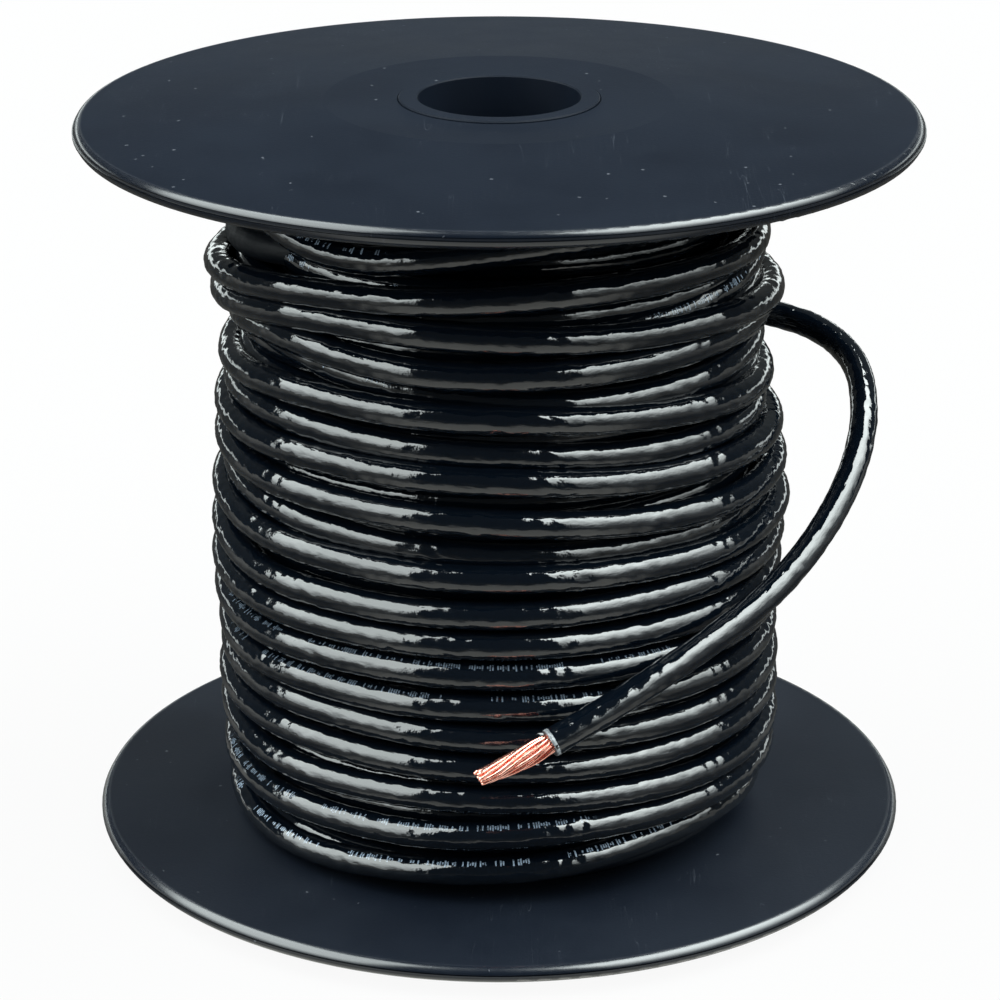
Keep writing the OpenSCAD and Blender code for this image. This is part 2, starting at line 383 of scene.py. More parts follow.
# Flange rims of the spool, in metres
MID_Z = 0.0762                       # height that divides the lower rim from the upper
LOWER_RIM_Z = 0.004450               # centre of the lower rim's round section
RIM_SPACING = 0.143500               # from the lower rim up to the upper
RIM_CENTRE_R = 0.080700              # radius at which the round section is centred
ROUND_FROM_R = 0.080720              # the rim is shaded round outside this radius
GLOSS_SPAN = (0.0806, 0.0814)        # radii over which the plastic turns glossy
# the ledges beside the parting line carry painted shade: they are coloured dark and lose their
# specular
LINE_HALF, LEDGE_HALF = 0.0002, 0.00036   # parting line and the dark ledges beside it
LEDGE_FROM_R = 0.0818
FLANGE_BELOW_Z = 0.08                # plastic below this height is more specular

# Scratch families on the plastic: (rotation about Z in radians, noise scale)
SCRATCHES = [(0.5, (900.0, 22.0, 60.0)), (-0.9, (1100.0, 26.0, 60.0)), (2.1, (800.0, 30.0, 60.0))]


def scratches(net, place):
    """Hair scratches: thin bands of a stretched noise, broken into patches."""
    result = None
    for k, (angle, scale) in enumerate(SCRATCHES):
        stretched = net.mapped(place, scale, (0, 0, angle), (k * 3.1, k * 1.7, 0))
        level = net.noise(stretched, scale=1.0, detail=0.0)
        band = net.ramp(net.math("ABSOLUTE", net.sub(level, 0.5)), span=(0.0, 0.006), to=(1.0, 0.0))
        patch = net.ramp(net.noise(place, scale=45.0 + 13 * k, detail=1.0), span=(0.60, 0.68))
        band = net.mul(band, patch)
        result = band if result is None else net.math("MAXIMUM", result, band)
    return result


def dust_specks(net, place):
    cells = net.node("TexVoronoi", feature="F1")
    net.link(place, cells.inputs["Vector"])
    cells.inputs["Scale"].default_value = 260.0
    gate = net.ramp(net.noise(place, scale=700.0, detail=0.0), span=(0.60, 0.66))
    return net.mul(net.ramp(cells.outputs["Distance"], span=(0.05, 0.12), to=(1.0, 0.0)), gate)


def rim_shading(net, x, y, z, radius):
    """Normals of the true round rim, flat on the parting line; also the mask of the ledges beside
    the line, where shade is painted.
    """
    upper = net.above(z, MID_Z)
    off_z = net.sub(z, net.add(LOWER_RIM_Z, net.mul(upper, RIM_SPACING)))
    off_r = net.math("MAXIMUM", net.sub(radius, RIM_CENTRE_R), 0.000001)
    away = net.math("ABSOLUTE", off_z)
    off_z = net.mul(off_z, net.above(away, LINE_HALF))
    # mask of the ledges beside the parting line, where shade is painted
    ledge_shade = net.mul(net.above(away, LINE_HALF), net.below(away, LEDGE_HALF),
                    net.above(radius, LEDGE_FROM_R))
    share = net.math("DIVIDE", off_r, radius)
    offset = net.node("CombineXYZ")
    net.link(net.mul(share, x), offset.inputs[0])
    net.link(net.mul(share, y), offset.inputs[1])
    net.link(off_z, offset.inputs[2])
    to_world = net.node("VectorTransform", vector_type="NORMAL", convert_from="OBJECT",
                        convert_to="WORLD")
    net.link(offset.outputs[0], to_world.inputs[0])
    direction = net.node("VectorMath", operation="NORMALIZE")
    net.link(to_world.outputs[0], direction.inputs[0])
    pick = net.node("Mix", data_type="VECTOR")
    net.link(net.above(radius, ROUND_FROM_R), pick.inputs["Factor"])
    net.link(net.geometry("Normal"), pick.inputs[4])
    net.link(direction.outputs[0], pick.inputs[5])
    return pick.outputs[1], ledge_shade


def spool_plastic():
    net = material("spool_plastic")
    place = net.coord()
    mottle = net.noise(place, scale=38.0, detail=4.0, rough=0.6)
    grain = net.noise(place, scale=1500.0, detail=2.0, rough=0.6)
    fine = net.noise(place, scale=4200.0, detail=1.0, rough=0.5)
    x, y, z = net.xyz(place)
    radius = net.math("SQRT", net.add(net.mul(x, x), net.mul(y, y)))
    rim = net.ramp(radius, span=GLOSS_SPAN)
    normal, ledge_shade = rim_shading(net, x, y, z, radius)

    base = net.mix(net.ramp(mottle, span=(0.3, 0.7)),
                   (0.0012, 0.0024, 0.0052, 1), (0.0019, 0.0034, 0.0067, 1))
    base = net.tint(base, (0.09, 0.10, 0.12, 1), scratches(net, place), strength=0.12)
    base = net.tint(base, (0.16, 0.17, 0.19, 1), dust_specks(net, place), strength=0.22)
    # painted shade: the ledges beside the parting line are darkened
    base = net.tint(base, (0.0004, 0.0006, 0.0010, 1), ledge_shade, strength=0.8)

    grain_rough, rim_gloss = 0.05, 0.34          # roughness added by grain, taken off at the rim
    rough = net.add(net.ramp(mottle, span=(0.3, 0.7), to=(0.50, 0.56)),
                    net.mul(grain, grain_rough))
    rough = net.sub(rough, net.mul(rim, rim_gloss))

    calm = net.sub(1.0, net.mul(rim, 0.9))       # the rim keeps a tenth of the grain relief
    normal = net.bump(grain, distance=0.00004, strength=net.mul(calm, 0.55), normal=normal)
    normal = net.bump(fine, distance=0.000015, strength=net.mul(calm, 0.5), normal=normal)

    plain_spec, low_spec, rim_spec = 0.055, 0.075, 0.45   # everywhere, low down, on the rims
    # the ledges' painted shade also takes the rim specular off them
    spec = net.add(plain_spec, net.mul(net.below(z, FLANGE_BELOW_Z), low_spec),
                   net.mul(net.sub(rim, ledge_shade, clamp=True), rim_spec))
    return net.principled(base, rough, normal, ior=1.49, spec=spec)


def print_mask(net, wire):
    """A row of short broken dashes: blocks of random width, no letters."""
    block, dash = 7.3, 0.48                  # lengths along the wire
    block_skip, dash_skip = 0.22, 0.40       # share of blocks and dashes left out
    dash_fill = 0.62                         # inked share of a dash's length
    height_range, least_height = 0.55, 0.22  # half height of a dash
    along, across, facing = net.xyz(net.attr("ink"))
    block_on = net.above(
        net.white_noise(net.math("FLOOR", net.math("DIVIDE", along, block))), block_skip)
    tick = net.math("FLOOR", net.math("DIVIDE", along, dash))
    dash_on = net.above(net.white_noise(tick), dash_skip)
    tall = net.white_noise(net.add(tick, 371.0))     # offset: a second, unrelated draw
    filled = net.below(net.math("FRACT", net.math("DIVIDE", along, dash)), dash_fill)
    half = net.add(net.mul(tall, height_range), least_height)
    row = net.below(net.math("ABSOLUTE", across), half)
    worn = net.ramp(net.noise(wire, scale=1.6, detail=2.0, rough=0.6), span=(0.30, 0.52))
    mask = net.mul(net.mul(block_on, dash_on), net.mul(filled, row))
    opacity = 0.60
    return net.mul(mask, worn, net.above(facing, 0.0), net.attr("inkon", "Fac"), opacity)


def nylon_jacket(name, printed=True, shade_dulling=0.0, spec=0.5):
    """shade_dulling is added roughness, for a dull copy of the jacket that paints shade. Unprinted
    jackets are mapped by object place in mm.
    """
    net = material(name)
    wire = net.attr("wire") if printed else net.mapped(net.coord(), scale=(1000.0,) * 3)
    long_wave = net.noise(net.mapped(wire, scale=(0.22, 0.9, 0.9)), detail=1.0, distortion=0.2)
    middle = net.noise(net.mapped(wire, scale=(0.8, 1.7, 1.7)), detail=1.0)
    fine = net.noise(wire, scale=2.6, detail=1.0)
    dust = net.noise(wire, scale=7.5, detail=1.0, rough=0.6)
    long_share, middle_share = 1.0, 0.45         # heights of the two waves
    height = net.add(net.mul(long_wave, long_share), net.mul(middle, middle_share))
    normal = net.bump(height, distance=0.00008)
    normal = net.bump(fine, distance=0.000010, normal=normal)
    smear = net.ramp(net.noise(net.mapped(wire, scale=(0.1, 0.5, 0.5)), detail=3.0, rough=0.6),
                     span=(0.42, 0.68))
    smear_rough, least_rough = 0.06, 0.035
    rough = net.add(net.mul(smear, smear_rough), least_rough + shade_dulling)
    base = net.mix(net.ramp(dust, span=(0.62, 0.80)),
                   (0.0008, 0.0016, 0.0030, 1), (0.0036, 0.0050, 0.0076, 1))
    if printed:
        mask = print_mask(net, wire)
        ink_rough = 0.25                         # roughness added by the ink
        base = net.mix(mask, base, (0.24, 0.30, 0.38, 1))
        rough = net.add(rough, net.mul(mask, ink_rough))
    return net.principled(base, rough, normal, ior=1.53, spec=spec)


def pvc_insulation():
    net = material("pvc_insulation")
    place = net.coord()
    grain = net.noise(place, scale=900.0, detail=3.0, rough=0.6)
    patches = net.noise(place, scale=260.0, detail=2.0, rough=0.5)
    base = net.mix(net.ramp(patches, span=(0.3, 0.7)),
                   (0.030, 0.032, 0.036, 1), (0.075, 0.078, 0.085, 1))
    rough = net.ramp(grain, span=(0.3, 0.7), to=(0.35, 0.6))
    return net.principled(base, rough, net.bump(grain, distance=0.0001, strength=0.8))


def jacket_cut_edge():
    net = material("jacket_cut_edge")
    grain = net.noise(net.coord(), scale=1300.0, detail=3.0, rough=0.6)
    base = net.mix(net.ramp(grain, span=(0.3, 0.7)),
                   (0.035, 0.040, 0.045, 1), (0.17, 0.18, 0.19, 1))
    rough = net.ramp(grain, span=(0.3, 0.7), to=(0.25, 0.5))
    return net.principled(base, rough, net.bump(grain, distance=0.00008, strength=0.8))


def copper():
    net = material("copper")
    place = net.coord()
    drawn = net.noise(net.mapped(place, scale=(2600.0,) * 3), detail=3.0, rough=0.6)
    tarnish = net.noise(place, scale=420.0, detail=3.0, rough=0.6)
    base = net.mix(net.ramp(tarnish, span=(0.35, 0.7)),
                   (1.0, 0.52, 0.42, 1), (0.86, 0.31, 0.23, 1))
    rough = net.ramp(drawn, span=(0.3, 0.7), to=(0.16, 0.30))
    return net.principled(base, rough, net.bump(drawn, distance=0.00003, strength=0.7),
                          metallic=1.0)


PLASTIC = spool_plastic()
JACKET = nylon_jacket("nylon_jacket")
JACKET_CAD = nylon_jacket("nylon_jacket_inner", printed=False)
PVC = pvc_insulation()
EDGE = jacket_cut_edge()
COPPER = copper()
# a rougher, less specular copy of the jacket: painted shade for the turns in the dark gap at the
# top left of the coil
JACKET_SHADE_COPY = nylon_jacket("nylon_jacket_painted_shade", shade_dulling=0.5, spec=0.1)


# ---------------------------------------------------------------- the CAD nodes

SPOOL_PARTS = ("upper_flange", "lower_flange", "barrel", "arbor_tube")
WOUND_LAYERS = tuple("layer_%d_insulation" % k for k in range(1, 5))

for name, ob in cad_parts.items():
    if name in SPOOL_PARTS:
        look, slot = PLASTIC, "spool_plastic"
    elif "conductor" in name or "strand" in name:
        look, slot = COPPER, "copper"
    elif "jacket" in name or name in WOUND_LAYERS:
        look, slot = JACKET_CAD, "nylon_jacket"
    else:
        look, slot = PVC, "pvc_insulation"
    paint(ob, look)


# ---------------------------------------------------------------- course of the fifth layer

# Front of the coil, one row per turn from the top: (azimuth in degrees, highlight height)
HIGHLIGHTS = [
    [(-144, 138.2), (-135, 136), (-120, 135)],
    [(-145, 125.5), (-135, 127.2), (-120, 128.5), (-104, 129), (-80, 130.8), (-60, 131.2),
     (-43, 131.3)],
    [(-135, 122.2), (-123, 123.8), (-112, 123), (-100, 122.8), (-80, 122), (-67, 121.3),
     (-52, 120.8), (-44, 120.5)],
    [(-132, 117.8), (-123, 116.5), (-112, 115.5), (-99, 114.8), (-81, 115.3), (-67, 115.5),
     (-55, 115.8), (-43, 116.5)],
    [(-140, 107.2), (-129, 108), (-120, 107.5), (-109, 107.2), (-100, 107), (-82, 106.8),
     (-67, 105.5), (-52, 104.5), (-40, 103.5)],
    [(-132, 101.5), (-120, 100.7), (-108, 99.8), (-98, 100), (-82, 99.2), (-75, 98.5),
     (-63, 97.8), (-52, 97.8)],
    [(-142, 94.2), (-135, 95.2), (-127, 95.8), (-117, 95.2), (-100, 95), (-79, 94.7),
     (-69, 93.2), (-57, 92.3), (-41, 91.5)],
    [(-141, 87), (-129, 87.8), (-117, 87.2), (-105, 87), (-81, 86.2), (-69, 84.8), (-55, 84),
     (-42, 82.7)],
    [(-132, 81.5), (-120, 80.5), (-109, 79.8), (-97, 79.2), (-82, 78.8), (-52, 78.3)],
    [(-142, 74.8), (-130, 75.8), (-120, 76.2), (-111, 75.5), (-103, 75.2), (-82, 75.5),
     (-67, 75), (-52, 74.7), (-42, 73.5)],
    [(-142, 66.5), (-130, 67.8), (-120, 68), (-111, 67.2), (-98, 68), (-79, 67.7),
     (-52, 68.5), (-44, 67.4)],
    [(-142, 60.5), (-132, 61.5), (-120, 61.8), (-97, 61.5), (-79, 61.8), (-67, 61.2),
     (-55, 61.8), (-46, 60.8)],
    [(-145, 54), (-135, 55.2), (-109, 55.8), (-97, 55.2), (-60, 55.5), (-45, 54.6)],
    [(-144, 47.5), (-135, 49), (-123, 49.2), (-114, 48.5), (-100, 48.8), (-75, 48.8),
     (-45, 47.8)],
    [(-139, 42.5), (-130, 43.8), (-120, 43.5), (-109, 42.8), (-99, 42.3), (-69, 42),
     (-60, 41.2), (-40, 40.7)],
    [(-141, 35.8), (-130, 37.2), (-120, 36.5), (-99, 36), (-78, 35.8), (-67, 35.2), (-41, 35)],
    [(-141, 28), (-130, 29.2), (-120, 29.5), (-108, 29.7), (-96, 29.5), (-76, 29.2),
     (-66, 28.5), (-54, 28.2), (-43, 27.2)],
    [(-142, 20), (-130, 21.2), (-120, 21.4), (-108, 20.8), (-96, 21.7), (-78, 22.5),
     (-67, 22.8), (-47, 22.2)],
    [(-138, 10.8), (-127, 11.8), (-117, 12.8), (-105, 13.5), (-75, 14.8), (-63, 16.5),
     (-47, 17.8)],
]
HIGHLIGHT_RISE = 1.7     # highlight above the centreline
SUNK_RISE = 0.4          # extra rise per millimetre that a turn has sunk
SUNK_R = {0: 52.2, 5: 53.2, 8: 53.0, 18: 52.6}       # front radius of turns that lie lower

# Other stations of each turn: (azimuth in degrees, centre height, centre radius)
STATIONS = [
    [(-190, 141.5, 50.2), (-175, 140.5, 50.6), (-160, 139.4, 51.2), (-152, 138.8, 51.8),
     (-92, 136.2, 50.6), (-75, 137.6, 49.6), (-40, 137.8, 49.4), (-5, 134.6, 50.0),
     (20, 131.5, 51.8), (60, 128.5, 53.4), (90, 125.0, 53.6), (120, 121.2, 53.0),
     (150, 118.6, 52.8), (165, 118.8, 53.6), (178, 120.4, 55.4)],
    [(-175, 121.2, 55.9), (-5, 127.4, 49.7)],
    [(-175, 115.1, 54.3), (-5, 115.3, 53.5)],
    [(-175, 110.8, 50.2), (-150, 114.4, 52.4), (-5, 111.0, 50.3)],
    [(-175, 102.6, 52.8), (-5, 98.6, 51.4)],
    [(-175, 97.6, 52.0), (-5, 93.0, 50.4), (50, 92.0, 49.2)],
    [(-250, 94.6, 54.6), (-175, 92.6, 53.9), (-5, 87.6, 54.0)],
    [(-175, 85.8, 54.1), (-5, 79.8, 55.1)],
    [(-175, 80.2, 52.6), (-5, 75.2, 53.0)],
    [(-175, 75.4, 55.1), (-5, 72.0, 56.0)],
    [(-175, 67.2, 55.3), (-5, 65.0, 54.9)],
    [(-175, 59.6, 55.6), (-5, 59.3, 54.5)],
    [(-175, 53.0, 55.2), (-5, 52.0, 54.4)],
    [(-175, 45.6, 54.4), (-5, 45.2, 53.8)],
    [(-175, 41.0, 54.3), (-5, 38.4, 54.3)],
    [(-175, 34.6, 54.7), (-5, 32.4, 54.3)],
    [(-175, 28.2, 54.4), (-5, 25.2, 54.6)],
    [(-175, 18.6, 54.0), (-5, 19.0, 54.0)],
    [(-175, 9.2, 53.2), (-5, 12.4, 51.4), (60, 9.0, 50.2), (110, 8.2, 49.6)],
]
EXIT_TURN, LAST_TURN = 6, 18         # the lower length starts with the exit turn
EXIT_AZ, EXIT_Z = 70.0, 95.1         # where the free end leaves the coil

# A turn and a half under the upper flange: (course angle, centre height, centre radius)
TOP_TURNS = [
    (-560, 146.2, 49.0), (-480, 146.0, 52.0), (-420, 145.8, 53.2), (-300, 145.4, 53.4),
    (-200, 144.6, 52.8), (-120, 142.4, 52.6), (-60, 141.0, 51.0), (-20, 140.6, 48.0),
]


def knots(turns):
    """Sorted rows (course angle, height, radius); the course angle grows 360 a turn."""
    rows = []
    for turn in turns:
        radius = SUNK_R.get(turn, OUTER_R)
        rise = SUNK_RISE * (OUTER_R - radius)
        rows += [(360.0 * turn + azimuth + 180, shine - HIGHLIGHT_RISE - rise, radius)
                 for azimuth, shine in HIGHLIGHTS[turn]]
        rows += [(360.0 * turn + azimuth + 180, z, r) for azimuth, z, r in STATIONS[turn]]
    return np.array(sorted(rows))


def smooth_course(rows, first, last, radius_sigma=4.0):
    """(phi, height, radius) every two degrees."""
    phi = np.arange(first, last + 1e-6, 2.0)
    height = gauss(np.interp(phi, rows[:, 0], rows[:, 1]), 4.0)
    radius = gauss(np.interp(phi, rows[:, 0], rows[:, 2]), radius_sigma)
    return phi, height, radius


def settle(courses):
    """Turns that would cut into each other slide apart: the deeper one sinks, both shift
    a little in height."""
    gap = 5.35                           # least distance between centrelines
    rounds = 160
    pull_z, pull_r = 0.06, 0.05          # pull back to the first course in each round
    least_r, most_r = 51.0, 56.6
    phi, z, r = (np.concatenate(columns) for columns in zip(*courses))
    first_z, first_r = z.copy(), r.copy()
    front = np.cos(np.radians((phi % 360) - 90))          # 1 at the front, -1 at the back
    hold = np.clip(front * 1.5 + 0.4, 0.0, 1.0)           # the front keeps its heights
    place = {round(angle): k for k, angle in enumerate(phi)}
    over, under = np.array([(k, place[round(angle) + 360]) for k, angle in enumerate(phi)
                            if round(angle) + 360 in place]).T
    for _ in range(rounds):
        dz, dr = z[over] - z[under], r[over] - r[under]
        distance = np.hypot(dz, dr)
        short = np.clip(gap - distance, 0, None)
        unit_z, unit_r = dz / np.maximum(distance, 1e-6), dr / np.maximum(distance, 1e-6)
        over_deeper = (dr < 0).astype(float)
        push = np.maximum(short * np.abs(unit_r), short * 0.35)
        r[over] -= 0.5 * push * over_deeper
        r[under] -= 0.5 * push * (1 - over_deeper)
        slide = 0.5 * short * (1 - 0.85 * hold[over]) * unit_z
        z[over] += slide
        z[under] -= slide
        z += (first_z - z) * pull_z * (0.3 + hold)
        r += (first_r - r) * pull_r
        r = np.clip(r, least_r, most_r)
    r = np.where(first_r < least_r, np.minimum(r, first_r), r)
    settled = []
    for angles, _, _ in courses:
        picked = np.array([place[round(angle)] for angle in angles])
        settled.append((angles, gauss(z[picked], 2.5), gauss(r[picked], 2.5)))
    return settled


upper_course, lower_course = settle([
    smooth_course(knots(range(EXIT_TURN)), -10, 360 * (EXIT_TURN - 1) + 230, 5.0),
    smooth_course(knots(range(EXIT_TURN, LAST_TURN + 1)),
                  360 * EXIT_TURN + EXIT_AZ - 180, 360 * LAST_TURN + 290, 5.0),
])


# ---------------------------------------------------------------- path of the free end

EXIT_RUN, LINK, LAST_LINK = 36.0, 36.0, 24.0
STRIP = 15.5                         # bared length at the end of the last link
TILT_RISE = 6.5                      # rise of the exit's plane over two coil diameters
# (bend radius, length, roll about the wire in degrees before the bend)
BENDS = [(31, LINK, 19), (57, LINK, 22), (94, LINK, -51), (127, LINK, 62), (341, LAST_LINK, -18)]


def turned(axis, degrees):
    matrix = np.eye(4)
    matrix[:3, :3] = np.array(Matrix.Rotation(math.radians(degrees), 3, axis.upper()))
    return matrix


def shifted(x, y, z):
    matrix = np.eye(4)
    matrix[:3, 3] = [x, y, z]
    return matrix


def free_end_path():
    """Points from the exit to the cut, joint places and headings, and the cut's frame,
    whose Y runs out along the wire."""
    tilt = math.degrees(math.asin(TILT_RISE / (4 * OUTER_R)))
    exit_rise = OUTER_R * math.cos(math.radians(EXIT_AZ)) * math.sin(math.radians(tilt))
    place = (shifted(0, 0, EXIT_Z - exit_rise) @ turned("y", -tilt) @ turned("z", EXIT_AZ)
             @ shifted(OUTER_R, 0, 0) @ turned("x", 180))
    points = [(place @ np.array([0, y, 0, 1]))[:3] for y in np.arange(0, EXIT_RUN, 0.5)]
    end = place @ shifted(0, EXIT_RUN, 0)
    joints = []
    for radius, length, roll in BENDS:
        start = end @ turned("y", roll)
        joints.append((start[:3, 3].copy(), start[:3, 1].copy()))
        run = length if len(joints) < len(BENDS) else length - STRIP
        for distance in np.arange(0, run - 0.25, 0.5):
            angle = distance / radius
            bend = [-radius + radius * math.cos(angle), radius * math.sin(angle), 0, 1]
            points.append((start @ np.array(bend))[:3])
        end = (start @ shifted(-radius, 0, 0) @ turned("z", math.degrees(run / radius))
               @ shifted(radius, 0, 0))
    points.append(end[:3, 3].copy())
    return np.array(points), joints, end


free_points, JOINTS, CUT = free_end_path()


# ---------------------------------------------------------------- fifth layer and free end

# Printed lengths of the coil: (turn, from azimuth, to azimuth, strength)
PRINTED = [(0, -165, -112, 0.9), (12, -165, -25, 0.35), (13, -165, -60, 0.35),
           (17, -170, -70, 0.5), (18, -170, -20, 1.0)]


def coil_ink(phi):
    strength = np.zeros(len(phi))
    for turn, first, last, level in PRINTED:
        azimuth = phi - (360 * turn + 180)
        shown = level * fade(azimuth - first, 4) * fade(last - azimuth, 4)
        strength = np.maximum(strength, shown)
    return strength


def build_exit_wire():
    """The lower coil and the free end are one wire, from the cut back into the coil."""
    coil, coil_outward = around_spool(*lower_course)
    phi = lower_course[0]
    lead = free_points[::-1]
    # ease the start of the coil over to the free end
    ease = np.exp(-np.arange(len(coil)) / 12.0)[:, None]
    coil = coil + ease * (lead[-1] - coil[0])
    path = np.vstack([lead, coil[1:]])
    outward = np.zeros_like(path)
    outward[len(lead) - 1:] = coil_outward
    # carry the reference direction out along the free end
    here = coil_outward[0]
    for k in range(len(lead) - 2, -1, -1):
        tangent = unit(path[k + 1] - path[k])
        here = unit(here - here.dot(tangent) * tangent)
        outward[k] = here
    phi = np.concatenate([np.full(len(lead) - 1, phi[0]), phi])
    free_length = lengths_along(path)[len(lead) - 1]
    path, extra, along = resample(path, np.column_stack([outward, phi]), STEP)
    first, last = path[0].copy(), path[-1].copy()
    path = gauss(path, 2.2)
    path[0], path[-1] = first, last
    out = free_length - along            # distance out from the exit, negative in the coil

    folds = 0.10 * np.exp(-((out - 58) / 12.0) ** 2)       # folded jacket 58 mm out
    wall = rings(path, unit(extra[:, :3]), along, 11, RIPPLE, folds)
    ink_angle = np.where(out > 0, np.radians(-50 + 25 * np.sin(out / 22.0)),
                         np.radians(-60 - 6 * np.sin(along / 60.0)))
    ink_on = np.where(out > 3, 0.7 * fade(66 - out, 5), coil_ink(extra[:, 3]))

    def length(name, start, stop, **options):
        span = slice(start, stop + 1)
        return tube(name, wall[span], along[span], ink_angle[span], ink_on[span], **options)

    # cut midway between joints; index falls as the distance out rises
    cuts = [int(np.argmin(np.abs(out - (k + 0.5) * LINK))) for k in range(len(BENDS))]
    coil_part = length("outer_layer_lower", cuts[0], len(along) - 1)
    free_parts = [length("free_end_%d" % k, cuts[k + 1], cuts[k]) for k in range(4)]
    free_parts.append(length("free_end_4", 0, cuts[4], cap_start=False))
    return coil_part, free_parts


outer_lower, free_end = build_exit_wire()
outer_upper = lay("outer_layer_upper", upper_course, seed=23, start=9000, smooth=2.0,
                  ink_sway=-8.0, ink_on=coil_ink)
outer_top = lay("outer_layer_top",
                smooth_course(np.array(TOP_TURNS, float), TOP_TURNS[0][0], TOP_TURNS[-1][0]),
                seed=29, start=15000)


# ---------------------------------------------------------------- turns beneath the fifth layer

# Lengths that show in the gaps: name, settings of lay,
# stations (azimuth in degrees, centre height, centre radius)
GLIMPSES = [
    ("under_turn_a", dict(ink_deg=-25, ink_on=lambda phi: fade(-112 - (phi - 180), 6)), [
        (-215, 118.0, 48.6), (-190, 116.6, 49.6), (-175, 114.9, 50.0), (-145, 113.2, 50.8),
        (-130, 110.9, 51.0), (-115, 108.8, 50.0), (-95, 107.4, 49.4), (-78, 106.5, 52.0),
        (-48, 106.4, 51.8), (-20, 106.6, 50.4), (10, 107.0, 49.2), (40, 107.4, 48.6)]),
    ("under_turn_b", dict(ink_deg=-30, ink_on=lambda phi: fade((phi - 180) + 60, 8) * 0.9,
                          folds=0.05), [
        (-105, 117.6, 48.6), (-75, 119.2, 49.8), (-50, 120.6, 50.6), (-32, 122.0, 50.4),
        (-15, 123.8, 50.0), (0, 125.2, 49.6), (40, 127.0, 48.6)]),
    ("under_turn_c", dict(ink_deg=-30), [
        (-80, 110.5, 48.6), (-60, 111.6, 49.4), (-37, 111.9, 49.6), (-10, 112.6, 49.2),
        (30, 113.4, 48.4)]),
    ("under_turn_e", dict(ink_deg=-20), [
        (-225, 125.0, 48.0), (-200, 125.6, 50.2), (-180, 126.4, 51.0), (-170, 127.2, 51.0),
        (-160, 128.1, 50.9), (-150, 129.2, 50.2), (-138, 130.0, 47.4)]),
    ("under_turn_f", dict(ink_deg=-20), [
        (-225, 130.6, 48.0), (-200, 131.2, 50.2), (-180, 132.0, 51.0), (-160, 133.7, 50.9),
        (-150, 134.8, 50.4), (-140, 135.6, 49.2), (-128, 136.0, 47.4)]),
    ("under_turn_d", dict(ink_deg=-20, ink_on=np.ones_like), [
        (-150, 129.6, 46.8), (-143, 129.0, 48.6), (-135, 128.4, 49.6), (-120, 128.0, 49.8),
        (-105, 127.6, 49.4), (-80, 127.2, 48.6)]),
]
# these two under turns wear the dulled jacket copy, painted shade in the dark gap at the top left
# of the coil
SHADE_COPY_TURNS = ("under_turn_e", "under_turn_f")

glimpses = []
for k, (name, settings, stations) in enumerate(GLIMPSES):
    rows = np.array(stations, float) + (180, 0, 0)         # azimuth to course angle
    glimpses.append(lay(name, smooth_course(rows, rows[0, 0], rows[-1, 0]), seed=40 + k,
                        start=300 * k + 500, amp=0.045, **settings))

# Whole layers: (layer, turns, first height, hand, ring step, jacket unevenness)
LAYERS = [
    (4, 20.2, 6.3, 1, 1.1, 0.040),
    (1, 23.8, 5.9, -1, 3.0, 0.02),
    (2, 23.7, 6.1, 1, 3.0, 0.02),
    (3, 23.6, 6.2, -1, 2.6, 0.02),
]
PITCH = 5.9              # rise of a turn


def whole_layer(layer, turns, first_z, hand, step, amp):
    """A helix with a slight waver in height."""
    angle = np.arange(0, 360 * turns, 3.0)
    height = (first_z + PITCH * angle / 360.0
              + 0.30 * np.sin(np.radians(angle * 0.37 + 50 * layer))
              + 0.22 * np.sin(np.radians(angle * 1.31 + 40 * layer)))
    radius = OUTER_R - LAYER_GAP * (5 - layer)
    return lay("layer_%d_turns" % layer, (180 + hand * angle, height, radius),
               seed=30 + layer, start=20000 + 9000 * layer, amp=amp, step=step, ink_deg=45.0)


layers = [whole_layer(*row) for row in LAYERS]


# ---------------------------------------------------------------- how the wire moves

for ob in [outer_lower, outer_upper, outer_top] + layers + glimpses + free_end:
    paint(ob, JACKET_SHADE_COPY if ob.name in SHADE_COPY_TURNS else JACKET)

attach(outer_lower, "spool")
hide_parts("layer_5_conductor", "layer_5_insulation", "layer_5_jacket")
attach(outer_upper, "spool")
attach(outer_top, "spool")
for ob, row in zip(layers, LAYERS):
    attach(ob, "spool")
    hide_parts("layer_%d_conductor" % row[0], "layer_%d_insulation" % row[0])
for ob in glimpses:
    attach(ob, "spool")

CHAIN = ["spool", "tail_1", "tail_2", "tail_3", "tail_4"]
for k in range(4):
    body = CHAIN[k + 1]
    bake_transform(free_end[k])
    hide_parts(body + "_conductor", body + "_insulation", body + "_jacket")
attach(free_end[4], "tail_4")


# ---------------------------------------------------------------- the cut end

# Closed ring sections: (radius, distance out past the cut)
LIP = [(2.79, -0.6), (2.775, 0.12), (2.70, 0.2), (2.64, 0.12), (2.60, -0.6)]
FACE = [(2.64, -1.2), (2.64, -0.2), (2.55, 0.03), (2.2, 0.10), (1.78, 0.04), (1.60, -0.15),
        (1.55, -1.2)]

STRAND_R = 0.372
STRAND_LENGTH = 15.2
STRAND_HIDDEN = 2.0      # length inside the insulation
LAY_LENGTH = 52.0        # strands go once round in this length
INNER_CIRCLE, OUTER_CIRCLE = 0.76, 1.50
BEND_UP = 1.0            # sideways bend of the strand tips
# Spread of the bundle: share of the bared length, and factor on the circle's radius
SWELL_AT = [0, 0.10, 0.25, 0.5, 0.8, 1.0]
SWELL = [1.0, 1.16, 1.24, 1.14, 0.96, 0.84]

# direction of the bend, square to the wire, in the cut's frame
lift = CUT[:3, :3].T @ np.array([-0.25, 0.36, 0.90])
LIFT = unit(lift - np.array([0.0, lift[1], 0.0]))


def from_cut(points):
    """Points in the cut's frame to points in the spool's."""
    return (CUT[:3, :3] @ points.T).T + CUT[:3, 3]


